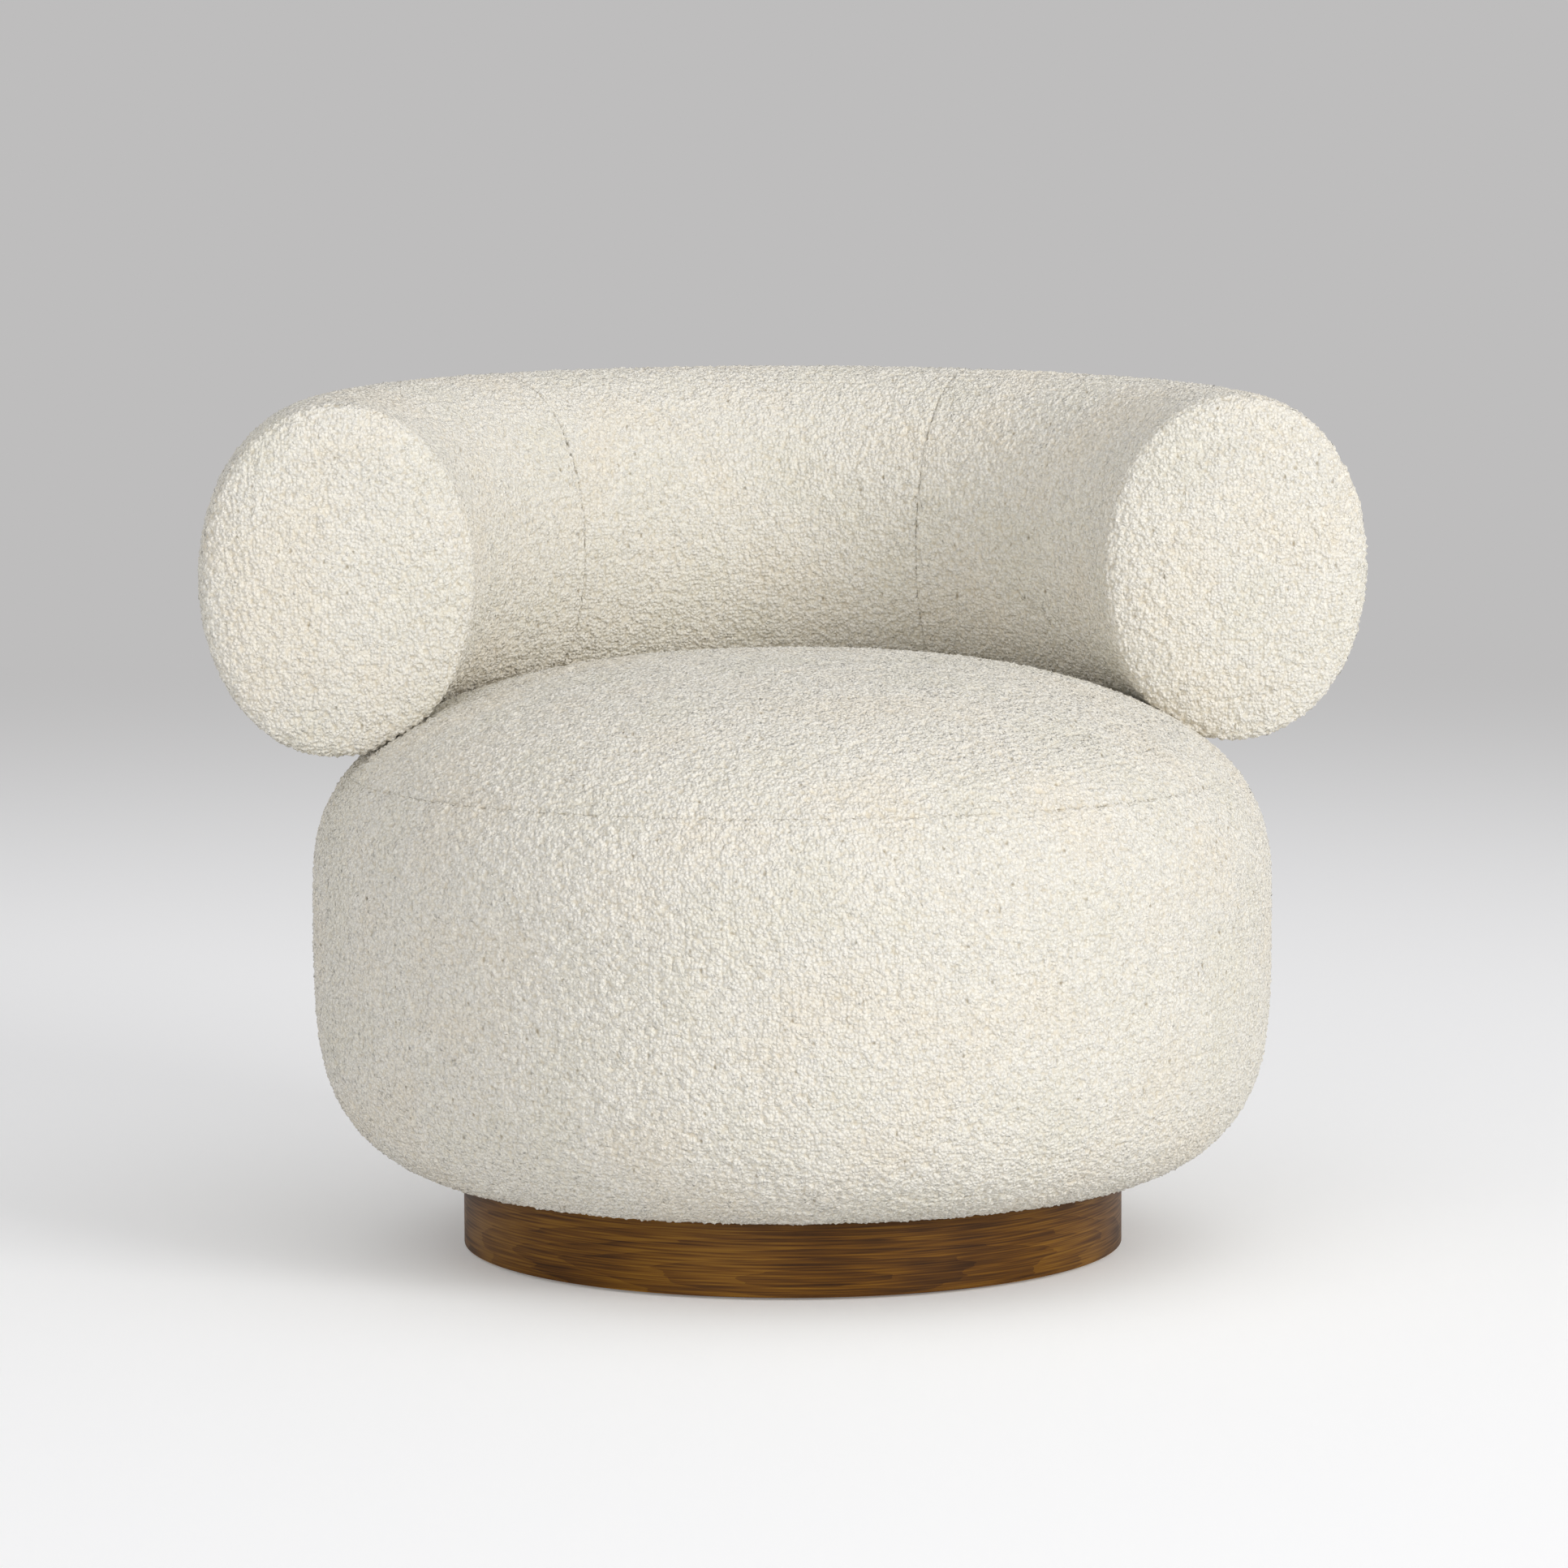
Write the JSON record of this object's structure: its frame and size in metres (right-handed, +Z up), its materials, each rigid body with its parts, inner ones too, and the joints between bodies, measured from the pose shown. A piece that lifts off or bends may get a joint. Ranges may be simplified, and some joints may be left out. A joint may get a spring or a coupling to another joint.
{
  "type": "tub chair",
  "caption": "Round upholstered swivel tub chair: a puffed seat body on a low wooden plinth, with an oval bolster as horseshoe back and arms.",
  "frame": {"origin": "where the swivel's vertical axis meets the floor, in the middle of the round plinth", "axes": "+Z up; the sitter faces -Y; +X is the sitter's left"},
  "size_m": [0.86, 0.7772, 0.6286],
  "materials": {
    "boucle": "cream loop-pile boucle, matt",
    "foam": "cut polyurethane foam, matt",
    "walnut_veneer": "dark walnut stain under a satin lacquer",
    "plywood": "sanded birch plywood",
    "fibreboard": "bent hardboard",
    "zinc_steel": "bright zinc-plated pressed steel",
    "ball_steel": "polished bearing steel",
    "cage_plastic": "natural moulded nylon",
    "glide_plastic": "black moulded plastic",
    "webbing": "black elastic webbing",
    "black_cloth": "black non-woven cloth"
  },
  "bodies": {
    "plinth": {"plinth_wall": "plywood", "plinth_veneer": "walnut_veneer", "plinth_bottom_board": "plywood", "plinth_top_board": "plywood", "plinth_glue_blocks": "plywood", "floor_glides": "glide_plastic", "swivel_lower_plate": "zinc_steel", "swivel_lower_bolts": "zinc_steel"},
    "ball_ring": {"swivel_cage": "cage_plastic", "swivel_balls": "ball_steel"},
    "seat": {"swivel_upper_plate": "zinc_steel", "swivel_upper_screws": "zinc_steel", "swivel_board": "plywood", "seat_base_board": "plywood", "seat_top_ring": "plywood", "seat_front_posts": "plywood", "side_liner": "fibreboard", "back_rib_centre": "plywood", "back_rib_left": "plywood", "back_rib_right": "plywood", "arm_rib_left": "plywood", "arm_rib_right": "plywood", "back_lower_rail": "plywood", "back_upper_rail": "plywood", "arm_end_board_left": "plywood", "arm_end_board_right": "plywood", "webbing_long": "webbing", "webbing_cross": "webbing", "webbing_staples": "zinc_steel", "cover_staples": "zinc_steel", "dust_cover": "black_cloth", "seat_foam": "foam", "side_foam": "foam", "bolster_foam": "foam", "seat_top_cover": "boucle", "side_boxing": "boucle", "bolster_cover_centre": "boucle", "bolster_cover_left": "boucle", "bolster_cover_right": "boucle", "arm_cap_left": "boucle", "arm_cap_right": "boucle"}
  },
  "joints": [
    {"name": "seat_swivel", "type": "hinge", "parent": "plinth", "child": "seat", "pos_m": [0, 0, 0.055], "axis": [0, 0, 1], "continuous": true},
    {"name": "ball_ring_turn", "type": "hinge", "parent": "plinth", "child": "ball_ring", "pos_m": [0, 0, 0.055], "axis": [0, 0, 1], "continuous": true}
  ],
  "couplings": [
    {"joint": "ball_ring_turn", "follows": "seat_swivel", "ratio": 0.5}
  ]
}
